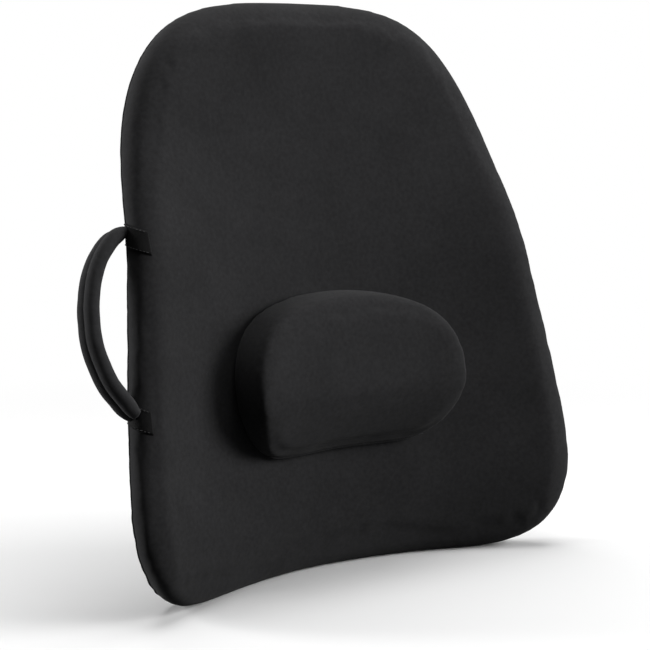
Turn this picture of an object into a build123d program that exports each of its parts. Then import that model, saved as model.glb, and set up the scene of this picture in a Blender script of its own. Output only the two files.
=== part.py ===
from build123d import *
import math
import os

# A full-height lumbar support cushion. A moulded frame sits between two foam layers inside a
# zipped fabric cover. A lumbar pad grips the front, a carry handle is sewn to the left side
# and a chair strap with a side-release buckle crosses the rear.
# Millimetres. +Z is up, the front faces -Y and X runs across. The origin lies on the resting
# plane, below the middle of the backrest. "Depth" always means a distance along +Y.

# ---- backrest shape ----
HEIGHT = 530.0
THICKNESS = 46.0
RIM = [(140, 0), (212, 22), (241, 90), (234, 215), (214, 326), (187, 442), (131, 510), (68, 526), (0, HEIGHT)]
LEAN = 0.15
HALF_REACH = 262.0
SECTIONS = [  # height, centre depth of the middle surface, radius of the wings
    (-12.0, 4.3, 335.0),
    (50.0, -9.8, 395.0),
    (95.0, -8.0, 412.0),
    (290.0, 21.25, 412.0),
    (410.0, 38.8, 640.0),
    (545.0, 55.5, 930.0),
]
FACE = THICKNESS / 2

# ---- layers, as depths measured from the middle surface ----
COVER = 1.6
GAP = 0.3
FRAME_FRONT, FRAME_BACK, RIB_BACK = 2.0, 5.5, 12.0
FRAME_INSET = 12.0
RIB_X = (-260.0, -80.0, 0.0, 80.0, 260.0)
RIB_Z = (-20.0, 215.0, 345.0, 560.0)
SEAM = 8.0
WELT_HALF, WELT_PROUD = 1.2, 1.4

# ---- lumbar pad ----
PAD_BOTTOM, PAD_TOP = 118.0, 265.0
PAD_CHORD = 172.0
PAD_RIM = [(86, PAD_BOTTOM), (112, 148), (120, 190), (114, 218), (91, 244), (48, 260), (0, PAD_TOP)]
PAD_LOW_HEIGHT, PAD_HIGH_HEIGHT = 18.0, 47.0
PAD_SWELL = 62.0
PAD_PANEL = 1.2
HEM_RADIUS = 1.3
HOOK_THICK = 1.2
PAD_BACK = -(FACE + 2 * GAP + HOOK_THICK)

# ---- carry handle ----
HANDLE_LOW = Vector(-236.0, -66.0, 180.0)
HANDLE_HIGH = Vector(-214.0, -14.0, 328.0)
HANDLE_REACH = 31.0
SLEEVE_WIDTH, SLEEVE_THICK = 24.0, 12.8
TAB_WIDTH, TAB_FRONT = 20.0, 14.0

# ---- zip across the rear, on a vertical cylinder close to the curved rear face ----
ZIP_Z = 75.0
ZIP_RADIUS = 416.4
ZIP_AXIS_Y = -403.4
ZIP_HALF_LENGTH = 150.0
TOOTH_PITCH = 5.0
SLIDER_LENGTH = 10.0
SLIDER_X = ZIP_HALF_LENGTH
PULL_LIFT = 3.0

# ---- chair strap and buckle ----
STRAP_Z = 235.0
STRAP_WIDTH = 25.0
STRAP_END = 205.0
WEB = 1.4
WEB_LOW = FACE + 0.4
BAR_X, BAR_RADIUS, BEND_INNER = 40.0, 1.6, 2.4
TAIL_END = 112.0
BUCKLE_WIDTH, BUCKLE_THICK = 34.0, 10.0
SOCKET_LENGTH = 30.0
WEB_HIGH = WEB_LOW + WEB + 2 * BEND_INNER
BAR_LIFT = WEB_LOW + WEB + BEND_INNER - FACE
BUCKLE_LIFT = 0.5
BAR_AXIS = BAR_LIFT - BUCKLE_LIFT - BAR_X ** 2 / 2 / 412.0
PRONG_LENGTH = 24.0
PRONG_ROOT = 0.2


# ---------------------------------------------------------------- shape of the backrest
def profile(z):
    """Centre depth of the middle surface and radius of its wings, straight between the sections."""
    for low, high in zip(SECTIONS, SECTIONS[1:]):
        if z <= high[0]:
            break
    share = (z - low[0]) / (high[0] - low[0])
    return [a + (b - a) * share for a, b in zip(low[1:], high[1:])]


def middle(x, z):
    """Depth of the middle surface."""
    depth, radius = profile(z)
    return depth - radius + math.sqrt(radius * radius - x * x)


def arc_face(points, inset):
    """Front view of a symmetric body: a flat lower edge, then arcs through every second point.

    The points run up the right side from the end of the lower edge to the top of the centre plane.
    """
    x, z = points[0]
    moved = [Vector(x - inset / 2, 0, z + inset)]
    for before, (x, z), after in zip(points, points[1:], points[2:]):
        along = Vector(after[0] - before[0], 0, after[1] - before[1]).normalized()
        moved.append(Vector(x - along.Z * inset, 0, z + along.X * inset))
    moved.append(Vector(0, 0, points[-1][1] - inset))
    corner = moved[0]
    edges = [Edge.make_line(Vector(-corner.X, 0, corner.Z), corner)]
    for i in range(0, len(moved) - 1, 2):
        arc = Edge.make_three_point_arc(*moved[i:i + 3])
        edges += [arc, arc.mirror(Plane.YZ)]
    return Face(Wire(edges))


def through(face):
    """A front view extruded through the whole depth of the object."""
    return Solid.extrude(face.moved(Location((0, -220, 0))), Vector(0, 400, 0))


def prism(inset=0.0):
    """The backrest's outline through the whole depth: a rounded trapezoid with a domed top."""
    return through(arc_face(RIM, inset))


def section(z, front, rear):
    """Level cross-section of a curved plate: two arcs joined at the sides."""
    reach = HALF_REACH
    corners = []
    for shift in (front, rear):
        corners.append([Vector(x, middle(x, z) + shift, z) for x in (-reach, 0, reach)])
    near, far = corners
    edges = [
        Edge.make_three_point_arc(*near),
        Edge.make_line(near[2], far[2]),
        Edge.make_three_point_arc(far[2], far[1], far[0]),
        Edge.make_line(far[0], near[0]),
    ]
    return Wire(edges)


def slab(front, rear):
    """A curved plate between two depths from the middle surface."""
    return Solid.make_loft([section(z, front, rear) for z, _, _ in SECTIONS], ruled=True)


def band(x_min, x_max, z_min, z_max):
    """A block through the whole depth, used to cut strips from curved plates."""
    return Pos((x_min + x_max) / 2, 0, (z_min + z_max) / 2) * Box(x_max - x_min, 600, z_max - z_min)


def only(shape):
    """The largest solid of a boolean result."""
    return max(shape.solids(), key=lambda solid: solid.volume)


def common(first, *others):
    """Volume shared by every shape given."""
    result = first
    for other in others:
        result = result & other
    return result


def cushion(inset=0.0):
    """The backrest shrunk by an inset on every side: a curved plate cut to the outline."""
    return only(common(slab(inset - FACE, FACE - inset), prism(inset)))


def group(solids):
    """Several separate solids kept together as one node."""
    return Compound(children=list(solids))


# ---------------------------------------------------------------- frame, foam and cover
def frame_shell():
    """Moulded shell, milled out at the rear to leave an edge flange and ribs, with rows of slots."""
    blank = common(slab(FRAME_FRONT, RIB_BACK), prism(FRAME_INSET))
    hollow = common(slab(FRAME_BACK, RIB_BACK + 20), prism(FRAME_INSET + 4))
    cuts = []
    for x_min, x_max in zip(RIB_X, RIB_X[1:]):
        for z_min, z_max in zip(RIB_Z, RIB_Z[1:]):
            cuts.append(hollow & band(x_min + 1.5, x_max - 1.5, z_min + 1.5, z_max - 1.5))
    slot = extrude(SlotOverall(52, 18), 300, both=True)
    for x in (-120.0, -40.0, 40.0, 120.0):
        for z in (140.0, 290.0, 400.0):
            cuts.append(Pos(x, 0, z) * Rot(90, 0, 0) * slot)
    return only(blank - cuts)


def front_foam():
    """Soft foam in front of the frame."""
    return only(common(CORE, slab(-60.0, FRAME_FRONT - GAP)))


def rear_foam():
    """Foam behind the frame's ribs, relieved behind the zip."""
    relief = arc_strip(ZIP_RADIUS - 6.0, ZIP_RADIUS + 9.0, ZIP_Z - 16, ZIP_Z + 16, ZIP_HALF_LENGTH + 14)
    return only(common(CORE, slab(RIB_BACK + GAP, 60.0)) - relief)


def cover_shell():
    """The whole cover as a thin hollow shell, flat where it stands on the resting plane."""
    skin = OUTER - cushion(COVER)
    return skin & band(-300, 300, 0, 600)


def front_cover():
    """Stretch fabric over the front and most of the side wall."""
    return only(common(COVER_SHELL, slab(-60.0, SEAM - WELT_HALF - GAP / 2)))


def rear_cover():
    """Rear fabric panel with the zip opening."""
    window = arc_strip(ZIP_RADIUS - 9.0, ZIP_RADIUS + 9.0, ZIP_Z - 6, ZIP_Z + 6, ZIP_HALF_LENGTH + 9)
    return only(common(COVER_SHELL, slab(SEAM + WELT_HALF + GAP / 2, 60.0)) - window)


def seam_welt():
    """Corded seam around the whole rim, where the two cover panels are sewn together."""
    ring = prism(-WELT_PROUD), prism(COVER)
    welt = common(slab(SEAM - WELT_HALF, SEAM + WELT_HALF), ring[0]) - ring[1]
    return only(welt & band(-300, 300, 0, 600))


# ---------------------------------------------------------------- zip
def arc_strip(r_in, r_out, z_low, z_high, half_length, start=None):
    """A strip of the zip's vertical cylinder, between two radii, reaching to +-half_length."""
    ring = Cylinder(r_out, z_high - z_low) - Cylinder(r_in, z_high - z_low)
    centre = Location((0, ZIP_AXIS_Y, (z_low + z_high) / 2))
    low = -half_length if start is None else start
    keep = Pos((low + half_length) / 2, 200, (z_low + z_high) / 2) * Box(half_length - low, 600, z_high - z_low)
    return (centre * ring) & keep


def zip_tape(side):
    """Woven tape beside the zip's centre line; side is +1 above it and -1 below it."""
    edges = sorted((ZIP_Z + 2.0 * side, ZIP_Z + 12.0 * side))
    return only(arc_strip(ZIP_RADIUS - 3.2, ZIP_RADIUS - 2.4, *edges, ZIP_HALF_LENGTH + 8))


def zip_teeth(side):
    """One row of teeth; the two rows interleave along the centre line."""
    count = int(2 * (ZIP_HALF_LENGTH - 8) / TOOTH_PITCH)
    step = math.degrees(TOOTH_PITCH / ZIP_RADIUS)
    tooth = Pos(0, ZIP_RADIUS - 1.2, ZIP_Z + 1.2 * side) * Box(2.1, 1.8, 4.4)
    places = [(i - count / 2 + 0.25 * side) * step for i in range(count)]
    return group([only(Pos(0, ZIP_AXIS_Y, 0) * Rot(0, 0, place) * tooth) for place in places])


def on_zip(x, part):
    """Moves a piece built at the top of the zip's circle along the zip to x."""
    angle = -math.degrees(math.asin(x / ZIP_RADIUS))
    return Pos(0, ZIP_AXIS_Y, 0) * Rot(0, 0, angle) * Pos(0, ZIP_RADIUS, ZIP_Z) * part


def zip_stops():
    """A crimped stop beyond each end of the teeth."""
    stop = Pos(0, -1.1, 0) * Box(2.0, 2.2, 7.0)
    return group([only(on_zip(x, stop)) for x in (-ZIP_HALF_LENGTH - 4, ZIP_HALF_LENGTH + 7)])


def zip_slider():
    """Slider: outer plate with two side flanges, a neck between the tapes and a plate behind them."""
    plate = fillet(Box(SLIDER_LENGTH, 1.6, 9.0).edges().filter_by(Axis.Y), 2.0)
    slider = Pos(0, 0.8 + 0.1, 0) * plate + Pos(0, -4.2, 0) * plate
    slider += Pos(SLIDER_LENGTH / 2 - 1.5, -1.6, 0) * Box(2.0, 5.4, 1.6)
    for side in (1, -1):
        slider += Pos(0, -0.75, 3.95 * side) * Box(SLIDER_LENGTH - 2, 1.9, 1.0)
    bail = Pos(0, PULL_LIFT, 0) * (Box(5.0, 3.0, 2.4) - Cylinder(0.8, 4.0))
    return only(on_zip(SLIDER_X, slider + bail))


def zip_pull():
    """Flat pull tab whose pin turns in the slider's bail."""
    tab = Pos(9.0, 0, 0) * fillet(Box(16.0, 1.4, 7.0).edges().filter_by(Axis.Y), 2.5)
    tab -= Pos(12.5, 0, 0) * Rot(90, 0, 0) * Cylinder(1.6, 3.0)
    arms = Pos(1.0, 0, 2.4) * Box(3.6, 1.4, 2.0) + Pos(1.0, 0, -2.4) * Box(3.6, 1.4, 2.0)
    tab -= Pos(0.6, 0, 0) * Box(5.2, 3.0, 2.8)
    pin = Cylinder(0.7, 5.0)
    return only(on_zip(SLIDER_X, Pos(0, PULL_LIFT, 0) * (tab + arms + pin)))


# ---------------------------------------------------------------- handle
def handle_plane():
    """Plane of the handle's loop: x along the line between its anchors, y outward."""
    along = HANDLE_HIGH - HANDLE_LOW
    normal = along.cross(Vector(-1, 0, 0))
    return Plane(origin=HANDLE_LOW, x_dir=along, z_dir=normal)


def handle_path():
    """Centre line of the loop, fuller near the top, as it hangs from its two anchors."""
    reach = HANDLE_REACH + 5.5
    points = [(12, 12.5), (28, 0.66 * reach), (60, 0.97 * reach), (97, reach), (133, 0.78 * reach), (149, 15.5)]
    return handle_plane() * Spline(*points)


def handle_section(profile):
    """Sweeps a flat profile, x across the band and y away from the wall, along the loop."""
    path = handle_path()
    start = Plane(origin=path @ 0, x_dir=handle_plane().z_dir, z_dir=path % 0)
    return sweep(start * profile, path=path)


def handle_webbing():
    """Flat load-bearing webbing along the inside of the loop."""
    return only(handle_section(Pos(0, -4.9) * Rectangle(15, WEB)))


def handle_cords():
    """Two foam cords that pad the grip."""
    return group([only(handle_section(Pos(x, 0.8) * Circle(4.6))) for x in (-5.4, 5.4)])


def handle_sleeve():
    """Fabric sleeve around the cords and the webbing."""
    outer = handle_section(RectangleRounded(SLEEVE_WIDTH, SLEEVE_THICK, 4.5))
    inner = handle_section(RectangleRounded(SLEEVE_WIDTH - 1.2, SLEEVE_THICK - 1.2, 3.9))
    return only(outer - inner)


def handle_tab(z):
    """Webbing strip across the left side wall, sewn into the seam, holding one end of the handle."""
    ring = prism(-GAP - WEB) - prism(-GAP)
    cut = band(-300, -150, z - TAB_WIDTH / 2, z + TAB_WIDTH / 2)
    return only(common(slab(-TAB_FRONT, SEAM - WELT_HALF - GAP), cut, ring))


# ---------------------------------------------------------------- chair strap and buckle
def strip(x_min, x_max, low, high, width=STRAP_WIDTH):
    """A flat webbing strip lying on the curved rear face."""
    cut = band(x_min, x_max, STRAP_Z - width / 2, STRAP_Z + width / 2)
    return only(common(slab(low, high), cut))


def on_rear(x, lift):
    """Place on the rear face at strap height: x along the strap, y outward, z up the face."""
    slope = math.degrees(math.atan(LEAN))
    depth = middle(x, STRAP_Z) + FACE
    turn = -math.degrees(math.asin(x / profile(STRAP_Z)[1]))
    return Pos(x, depth, STRAP_Z) * Rot(-slope, 0, 0) * Rot(0, 0, turn) * Pos(0, lift, 0)


def bend(x):
    """Half-round fold of webbing around a bar; it opens towards the outer end of the strap."""
    outer = Cylinder(BEND_INNER + WEB, STRAP_WIDTH) - Cylinder(BEND_INNER, STRAP_WIDTH)
    half = Pos(-math.copysign(10, x), 0, 0) * Box(20, 20, STRAP_WIDTH)
    return on_rear(x, BAR_LIFT) * (outer & half)


def strap_left():
    """Sewn webbing from the left anchor to the socket's bar and back over itself."""
    low = strip(-STRAP_END, -BAR_X, WEB_LOW, WEB_LOW + WEB)
    high = strip(-BAR_X - 34, -BAR_X, WEB_HIGH, WEB_HIGH + WEB)
    return only(low + bend(-BAR_X) + high)


def strap_right():
    """Webbing from the right anchor to the adjusting bar of the plug."""
    return strip(BAR_X + 1.0, STRAP_END, WEB_LOW, WEB_LOW + WEB)


def strap_tail():
    """Free end of the webbing, folded around the plug's bar and hemmed at its tip."""
    run = strip(BAR_X, TAIL_END, WEB_HIGH, WEB_HIGH + WEB)
    hem = strip(TAIL_END - 12, TAIL_END, WEB_HIGH + WEB - 0.2, WEB_HIGH + 2 * WEB)
    return only(bend(BAR_X) + run + hem)


def strap_patch(side):
    """Reinforcing patch sewn over each end of the strap."""
    ends = sorted((side * (STRAP_END - 26), side * (STRAP_END + 2)))
    return strip(*ends, WEB_LOW + WEB + GAP, WEB_LOW + WEB + GAP + 1.0, STRAP_WIDTH + 5)


def buckle_place():
    """Origin of the buckle: the mouth of the socket, on the strap line, at the back of the buckle."""
    return on_rear(0, BUCKLE_LIFT)


def rails(mouth, side):
    """Two side rails from the buckle's body to its strap bar."""
    end = side * (BAR_X + 0.6)
    rail = Pos((mouth + end) / 2, BAR_AXIS, 0) * Box(abs(end - mouth), 2 * BAR_RADIUS, 3.0)
    return [Pos(0, 0, z * (BUCKLE_WIDTH / 2 - 1.5)) * rail for z in (1, -1)]


def strap_bar(side):
    """Round bar that the webbing folds around."""
    return on_rear(side * BAR_X, BAR_LIFT) * Cylinder(BAR_RADIUS, BUCKLE_WIDTH)


def buckle_socket():
    """Socket: a flat box open towards the plug, with side windows for the prongs and a strap bar."""
    half = BUCKLE_THICK / 2
    body = Pos(-SOCKET_LENGTH / 2, half, 0) * Box(SOCKET_LENGTH, BUCKLE_THICK, BUCKLE_WIDTH)
    body = fillet(body.edges().filter_by(Axis.X), 2.5)
    body -= Pos(-SOCKET_LENGTH / 2 + 1.5, half, 0) * Box(SOCKET_LENGTH - 3, BUCKLE_THICK - 3.2, BUCKLE_WIDTH - 5)
    body -= Pos(-1.0, half, 0) * Box(4, BUCKLE_THICK - 3.2, BUCKLE_WIDTH - 5)
    for side in (1, -1):
        body -= Pos(-SOCKET_LENGTH / 2 - 1, half, side * BUCKLE_WIDTH / 2) * Box(13, BUCKLE_THICK - 3.2, 8)
    body += rails(-SOCKET_LENGTH + 1.0, -1)
    return only(buckle_place() * body + strap_bar(-1))


def buckle_plug():
    """Plug: shoulder against the socket's mouth, a centre guide tongue and a strap bar."""
    half = BUCKLE_THICK / 2
    shoulder = Pos(5.5, half, 0) * Box(10, BUCKLE_THICK - 1, BUCKLE_WIDTH)
    shoulder = fillet(shoulder.edges().filter_by(Axis.X), 2.2)
    tongue = Pos(-8.0, half, 0) * Box(20, 3.0, 6.0)
    body = shoulder + tongue + rails(9.5, 1)
    return only(buckle_place() * body + strap_bar(1))


def prong(side):
    """Sprung prong whose barb stands in the socket's side window."""
    half = BUCKLE_THICK / 2
    z = side * 11.0
    arm = Pos(PRONG_ROOT - PRONG_LENGTH / 2, half, z) * Box(PRONG_LENGTH, 4.6, 3.0)
    barb = Pos(-SOCKET_LENGTH / 2 - 1, half, side * 13.6) * Box(9.0, 4.6, 4.6)
    return only(buckle_place() * (arm + fillet(barb.edges().filter_by(Axis.Y), 1.2)))


# ---------------------------------------------------------------- lumbar pad
def pad_prism(inset=0.0):
    """The pad's outline through the whole depth: a flat lower edge under a rounded dome."""
    return through(arc_face(PAD_RIM, inset))


def pad_height(z):
    """How far the pad stands out from the backrest: thin at its lower edge, full from a third up."""
    rise = min(max((z - PAD_BOTTOM) / PAD_SWELL, 0.0), 1.0)
    return PAD_LOW_HEIGHT + (PAD_HIGH_HEIGHT - PAD_LOW_HEIGHT) * rise


def pad_block(inset, back):
    """The pad shrunk by an inset, from its swelling front to a depth behind it."""
    z_low, z_high = PAD_BOTTOM - 8, PAD_TOP + 8
    wires = []
    for z in (z_low, PAD_BOTTOM + PAD_SWELL, z_high):
        wires.append(section(z, inset - FACE - pad_height(z), back))
    return common(Solid.make_loft(wires, ruled=True), pad_prism(inset))


def pad_foam():
    """Crowned foam of the lumbar pad."""
    return only(pad_block(COVER + GAP, PAD_BACK - PAD_PANEL - GAP))


def pad_cover():
    """Stretch fabric over the pad's front and walls, open at the back."""
    return only(pad_block(0.0, PAD_BACK) - pad_block(COVER, PAD_BACK + 20))


def pad_back_panel():
    """Loop fabric panel that closes the pad's back."""
    return only(common(slab(PAD_BACK - PAD_PANEL, PAD_BACK), pad_prism(COVER + GAP)))


def pad_hem():
    """Corded hem under the pad's lower front edge."""
    z = PAD_BOTTOM - GAP - HEM_RADIUS
    reach = PAD_CHORD / 2 - 2
    lift = FACE + PAD_LOW_HEIGHT - 2 * HEM_RADIUS
    points = [(x, middle(x, z) - lift, z) for x in (-reach, -reach / 2, 0, reach / 2, reach)]
    path = Spline(*points)
    return only(sweep(Plane(origin=path @ 0, z_dir=path % 0) * Circle(HEM_RADIUS), path=path))


def hook_strip(side):
    """Hook-tape strip that holds the pad on the brushed face of the cover."""
    cut = band(45.0 * side - 12.5, 45.0 * side + 12.5, PAD_BOTTOM + 14, PAD_TOP - 30)
    return only(common(slab(PAD_BACK + GAP, PAD_BACK + GAP + HOOK_THICK), cut))


OUTER = cushion()
CORE = cushion(COVER + 2 * GAP)
COVER_SHELL = cover_shell()


NODES = {
    "frame_shell": frame_shell,
    "front_foam": front_foam,
    "rear_foam": rear_foam,
    "front_cover": front_cover,
    "rear_cover": rear_cover,
    "seam_welt": seam_welt,
    "zip_tape_upper": lambda: zip_tape(1),
    "zip_tape_lower": lambda: zip_tape(-1),
    "zip_teeth_upper": lambda: zip_teeth(1),
    "zip_teeth_lower": lambda: zip_teeth(-1),
    "zip_stops": zip_stops,
    "zip_slider": zip_slider,
    "zip_pull": zip_pull,
    "handle_webbing": handle_webbing,
    "handle_cords": handle_cords,
    "handle_sleeve": handle_sleeve,
    "handle_tab_upper": lambda: handle_tab(HANDLE_HIGH.Z),
    "handle_tab_lower": lambda: handle_tab(HANDLE_LOW.Z),
    "strap_left": strap_left,
    "strap_right": strap_right,
    "strap_tail": strap_tail,
    "strap_patch_left": lambda: strap_patch(-1),
    "strap_patch_right": lambda: strap_patch(1),
    "buckle_socket": buckle_socket,
    "buckle_plug": buckle_plug,
    "prong_upper": lambda: prong(1),
    "prong_lower": lambda: prong(-1),
    "pad_foam": pad_foam,
    "pad_cover": pad_cover,
    "pad_back_panel": pad_back_panel,
    "pad_hem": pad_hem,
    "hook_strip_left": lambda: hook_strip(-1),
    "hook_strip_right": lambda: hook_strip(1),
}

os.makedirs("parts", exist_ok=True)
for name, build in NODES.items():
    export_step(build(), f"parts/{name}.step")
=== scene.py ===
import math

import bmesh
import bpy
import numpy as np
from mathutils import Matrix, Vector, noise
from mathutils.bvhtree import BVHTree


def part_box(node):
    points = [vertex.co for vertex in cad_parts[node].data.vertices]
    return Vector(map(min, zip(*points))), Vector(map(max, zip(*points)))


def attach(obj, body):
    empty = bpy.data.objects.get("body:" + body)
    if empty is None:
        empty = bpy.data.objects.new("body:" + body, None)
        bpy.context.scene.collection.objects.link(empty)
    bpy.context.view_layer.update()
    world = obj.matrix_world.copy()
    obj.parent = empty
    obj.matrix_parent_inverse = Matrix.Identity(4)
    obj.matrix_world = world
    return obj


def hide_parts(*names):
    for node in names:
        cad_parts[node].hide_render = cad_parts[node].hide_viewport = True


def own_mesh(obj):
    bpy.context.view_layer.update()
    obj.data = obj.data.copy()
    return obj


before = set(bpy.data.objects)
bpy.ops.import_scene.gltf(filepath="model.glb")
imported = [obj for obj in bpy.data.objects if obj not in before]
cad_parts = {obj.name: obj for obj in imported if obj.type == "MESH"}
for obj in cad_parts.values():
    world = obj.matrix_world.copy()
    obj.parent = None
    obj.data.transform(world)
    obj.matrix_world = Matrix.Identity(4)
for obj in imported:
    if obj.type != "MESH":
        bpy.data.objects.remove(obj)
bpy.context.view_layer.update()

# Lengths are in millimetres up to the point where a mesh is made, and MM turns them into metres.
MM = 0.001

# ---- the backrest's shape: the CAD's contour with a soft rim and no steps between section heights ----
THICKNESS = 46.0
FACE = THICKNESS / 2
COVER_INSET, FOAM_INSET = 1.0, 7.0
RIM, RIM_FOOT = 30.0, 15.0
SEAM_DEPTH = 14.5
LEAN = 0.15
WING_DEPTH, WING_AT = 49.0, 200.0
HALF_OUTLINE = [
    (0, -4.5), (130, -4.5), (203, 9), (240, 57), (241, 156), (218, 326), (193, 437), (133, 513), (0, 533),
]

# ---- zip and strap ----
ZIP_Z, ZIP_REACH = 75.0, 157.0
ZIP_RECESS = 5.5
ZIP_AXIS_DEPTH, TAPE_RADIUS, TAPE_WIDTH = -403.4, 413.6, 10.0
STRAP_Z, STRAP_WIDTH = 235.0, 25.0


# ------------------------------------------------------------------ formulas of the backrest
def centre_depth(z):
    """Depth (along +Y) of the middle surface on the centre plane."""
    depth = -8.0 + LEAN * (z - 95.0)
    depth = depth + np.where(z < 95.0, 0.00247 * (95.0 - z) ** 2, 0.0)
    return depth - np.where(z > 345.0, 0.0001 * (z - 345.0) ** 2, 0.0)


def wing_depth(z):
    """How far the sides curve forward, 200 mm from the centre plane."""
    low = np.where(z < 100.0, 11.0 * ((100.0 - z) / 100.0) ** 2, 0.0)
    rise = np.clip((z - 280.0) / 200.0, 0.0, 1.0)
    return WING_DEPTH + low - 13.5 * (1.0 - np.cos(math.pi * rise))


def middle(x, z):
    """Depth of the middle surface."""
    return centre_depth(z) - wing_depth(z) * (x / WING_AT) ** 2


def closed_curve(points, count):
    """Evenly spaced points on a smooth closed curve through the given ones."""
    pts = np.array(points, float)
    n = len(pts)
    ahead = np.roll(pts, -1, axis=0)
    h = np.sqrt(np.linalg.norm(ahead - pts, axis=1))
    back = np.roll(h, 1)
    system = np.zeros((n, n))
    for i in range(n):
        system[i, i - 1] += back[i]
        system[i, i] += 2 * (back[i] + h[i])
        system[i, (i + 1) % n] += h[i]
    slope = (ahead - pts) / h[:, None]
    bend = np.linalg.solve(system, 6 * (slope - np.roll(slope, 1, axis=0)))
    dense = []
    for i in range(n):
        t = np.linspace(0, h[i], 60, endpoint=False)[:, None]
        s = h[i] - t
        b0, b1 = bend[i], bend[(i + 1) % n]
        p0, p1 = pts[i], ahead[i]
        dense.append(
            (b0 * s ** 3 + b1 * t ** 3) / (6 * h[i])
            + (p0 / h[i] - b0 * h[i] / 6) * s
            + (p1 / h[i] - b1 * h[i] / 6) * t
        )
    dense = np.vstack(dense + [pts[:1]])
    run = np.concatenate([[0], np.cumsum(np.linalg.norm(np.diff(dense, axis=0), axis=1))])
    at = np.linspace(0, run[-1], count, endpoint=False)
    return np.column_stack([np.interp(at, run, dense[:, k]) for k in (0, 1)])


def mirrored(half):
    """Full ring of (x, z) points from a right half that starts and ends on the centre plane."""
    return half + [(-x, z) for x, z in reversed(half[1:-1])]


def inward(ring):
    """Unit normals of a ring of (x, z) points, pointing into it."""
    along = np.roll(ring, -1, axis=0) - np.roll(ring, 1, axis=0)
    along /= np.linalg.norm(along, axis=1)[:, None]
    return np.column_stack([-along[:, 1], along[:, 0]])


# ------------------------------------------------------------------ mesh helpers
def mesh_object(name, verts, faces, uv=None):
    """A smooth-shaded mesh object from millimetre points; uv holds one (u, v) pair for each point."""
    mesh = bpy.data.meshes.new(name)
    mesh.from_pydata([tuple(p) for p in np.asarray(verts, float) * MM], [], [tuple(f) for f in faces])
    mesh.validate()
    if uv is not None:
        layer = mesh.uv_layers.new(name="UVMap")
        for loop in mesh.loops:
            layer.data[loop.index].uv = uv[loop.vertex_index]
    for polygon in mesh.polygons:
        polygon.use_smooth = True
    obj = bpy.data.objects.new(name, mesh)
    bpy.context.scene.collection.objects.link(obj)
    return obj


def finish_normals(obj):
    """Points every face outward."""
    bm = bmesh.new()
    bm.from_mesh(obj.data)
    bmesh.ops.recalc_face_normals(bm, faces=bm.faces)
    bm.to_mesh(obj.data)
    bm.free()
    return obj


def apply_modifiers(obj):
    """Replaces the mesh with its evaluated result and clears the modifiers."""
    depsgraph = bpy.context.evaluated_depsgraph_get()
    result = bpy.data.meshes.new_from_object(obj.evaluated_get(depsgraph))
    obj.modifiers.clear()
    obj.data = result
    for polygon in result.polygons:
        polygon.use_smooth = True
    return obj


def subdivide(obj):
    modifier = obj.modifiers.new("subdivision", "SUBSURF")
    modifier.levels = 1
    return apply_modifiers(obj)


def coordinates(obj):
    """Vertex positions in millimetres."""
    co = np.zeros(len(obj.data.vertices) * 3)
    obj.data.vertices.foreach_get("co", co)
    return co.reshape(-1, 3) / MM


def set_coordinates(obj, points):
    obj.data.vertices.foreach_set("co", (points * MM).ravel())
    obj.data.update()


def vertex_normals(obj):
    values = np.zeros(len(obj.data.vertices) * 3)
    obj.data.vertex_normals.foreach_get("vector", values)
    return values.reshape(-1, 3)


def rings_to_mesh(name, rings):
    """Joins equal closed rings of points into a tube and closes both ends with a point."""
    count = len(rings[0])
    verts = np.vstack(rings)
    faces = []
    for i in range(len(rings) - 1):
        a, b = i * count, (i + 1) * count
        for j in range(count):
            k = (j + 1) % count
            faces.append((a + j, a + k, b + k, b + j))
    for ring, base in ((rings[0], 0), (rings[-1], (len(rings) - 1) * count)):
        verts = np.vstack([verts, np.mean(ring, axis=0)])
        tip = len(verts) - 1
        faces += [(base + j, base + (j + 1) % count, tip) for j in range(count)]
    return finish_normals(mesh_object(name, verts, faces))


def smooth_noise(point, size, seed=0.0):
    """Smooth noise between about -1 and 1, with features of a size in millimetres."""
    return noise.noise(Vector(point) / size + Vector((seed, seed * 0.7, seed * 1.3)))


# ------------------------------------------------------------------ soft bodies
PUFF_FRAMES = 20


def puff(obj, voxel, pressure, cap, pinned=None):
    """Inflates a closed fabric shell: voxel remesh, cloth under pressure, movement capped, then smoothed."""
    remesh = obj.modifiers.new("remesh", "REMESH")
    remesh.mode = "VOXEL"
    remesh.voxel_size = voxel * MM
    apply_modifiers(obj)
    smooth = obj.modifiers.new("smooth", "SMOOTH")
    smooth.iterations = 4
    apply_modifiers(obj)
    start = coordinates(obj)
    if pinned is not None:
        group = obj.vertex_groups.new(name="pinned")
        for index in np.nonzero(pinned(start))[0]:
            group.add([int(index)], 1.0, "REPLACE")
    cloth = obj.modifiers.new("cloth", "CLOTH")
    settings = cloth.settings
    settings.quality = 5
    settings.mass = 0.3
    settings.tension_stiffness = 20
    settings.compression_stiffness = 20
    settings.shear_stiffness = 10
    settings.bending_stiffness = 2
    settings.use_pressure = True
    settings.uniform_pressure_force = pressure
    settings.effector_weights.gravity = 0
    if pinned is not None:
        settings.vertex_group_mass = "pinned"
    cloth.point_cache.frame_start = 1
    cloth.point_cache.frame_end = PUFF_FRAMES
    scene = bpy.context.scene
    for step in range(1, PUFF_FRAMES + 1):
        scene.frame_set(step)
    depsgraph = bpy.context.evaluated_depsgraph_get()
    mesh = bpy.data.meshes.new_from_object(obj.evaluated_get(depsgraph))
    moved = np.zeros(len(mesh.vertices) * 3)
    mesh.vertices.foreach_get("co", moved)
    normals = vertex_normals(obj)
    swell = np.sum((moved.reshape(-1, 3) / MM - start) * normals, axis=1)
    shift = normals * np.clip(swell, 0.0, cap)[:, None]
    obj.modifiers.clear()
    obj.vertex_groups.clear()
    set_coordinates(obj, start + shift)
    bpy.data.meshes.remove(mesh)
    scene.frame_set(1)
    return obj


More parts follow.
